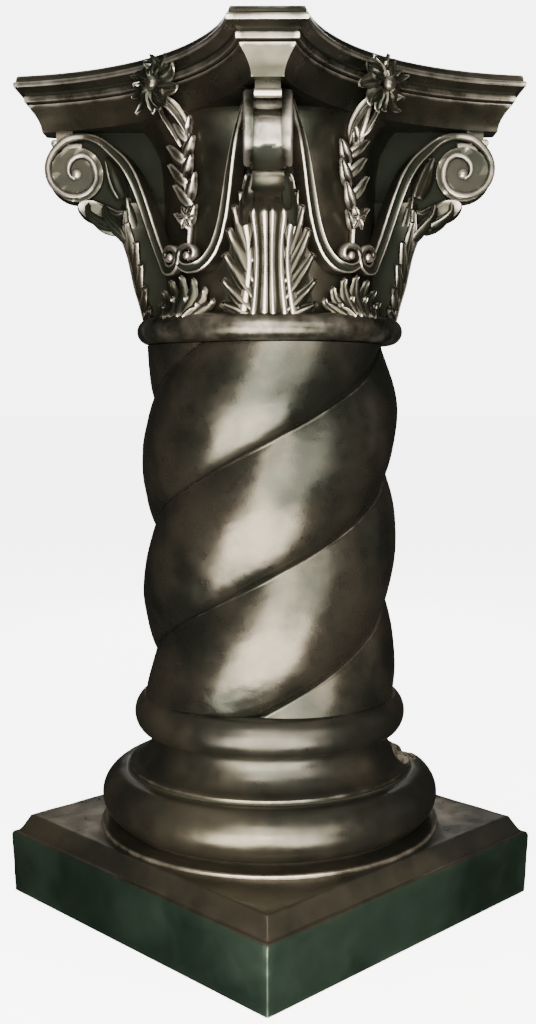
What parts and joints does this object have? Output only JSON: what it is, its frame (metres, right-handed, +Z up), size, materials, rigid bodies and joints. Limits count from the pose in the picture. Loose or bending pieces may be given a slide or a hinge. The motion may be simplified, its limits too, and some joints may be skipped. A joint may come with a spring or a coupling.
{
  "type": "decorative column",
  "caption": "Decorative pedestal column with a twisted shaft, a leafy capital with corner scrolls, and a moulded base on a square plinth.",
  "frame": {"origin": "middle of the plinth's underside", "axes": "+Z up along the column's axis, +X and +Y square to the plinth's sides"},
  "size_m": [0.3716, 0.3716, 0.774],
  "materials": {
    "base_bronze": "dark antique bronze paint, brownish on top, green-black on the plinth's sides, rubbed bright on the mouldings",
    "shaft_bronze": "dark burnished bronze with a soft pewter sheen, mottled, darker in the grooves",
    "capital_bronze": "near-black bronze in the hollows, rubbed to pale pewter on the leaves and scrolls"
  },
  "bodies": {
    "root": {"base": "base_bronze", "shaft": "shaft_bronze", "capital": "capital_bronze"}
  },
  "joints": []
}
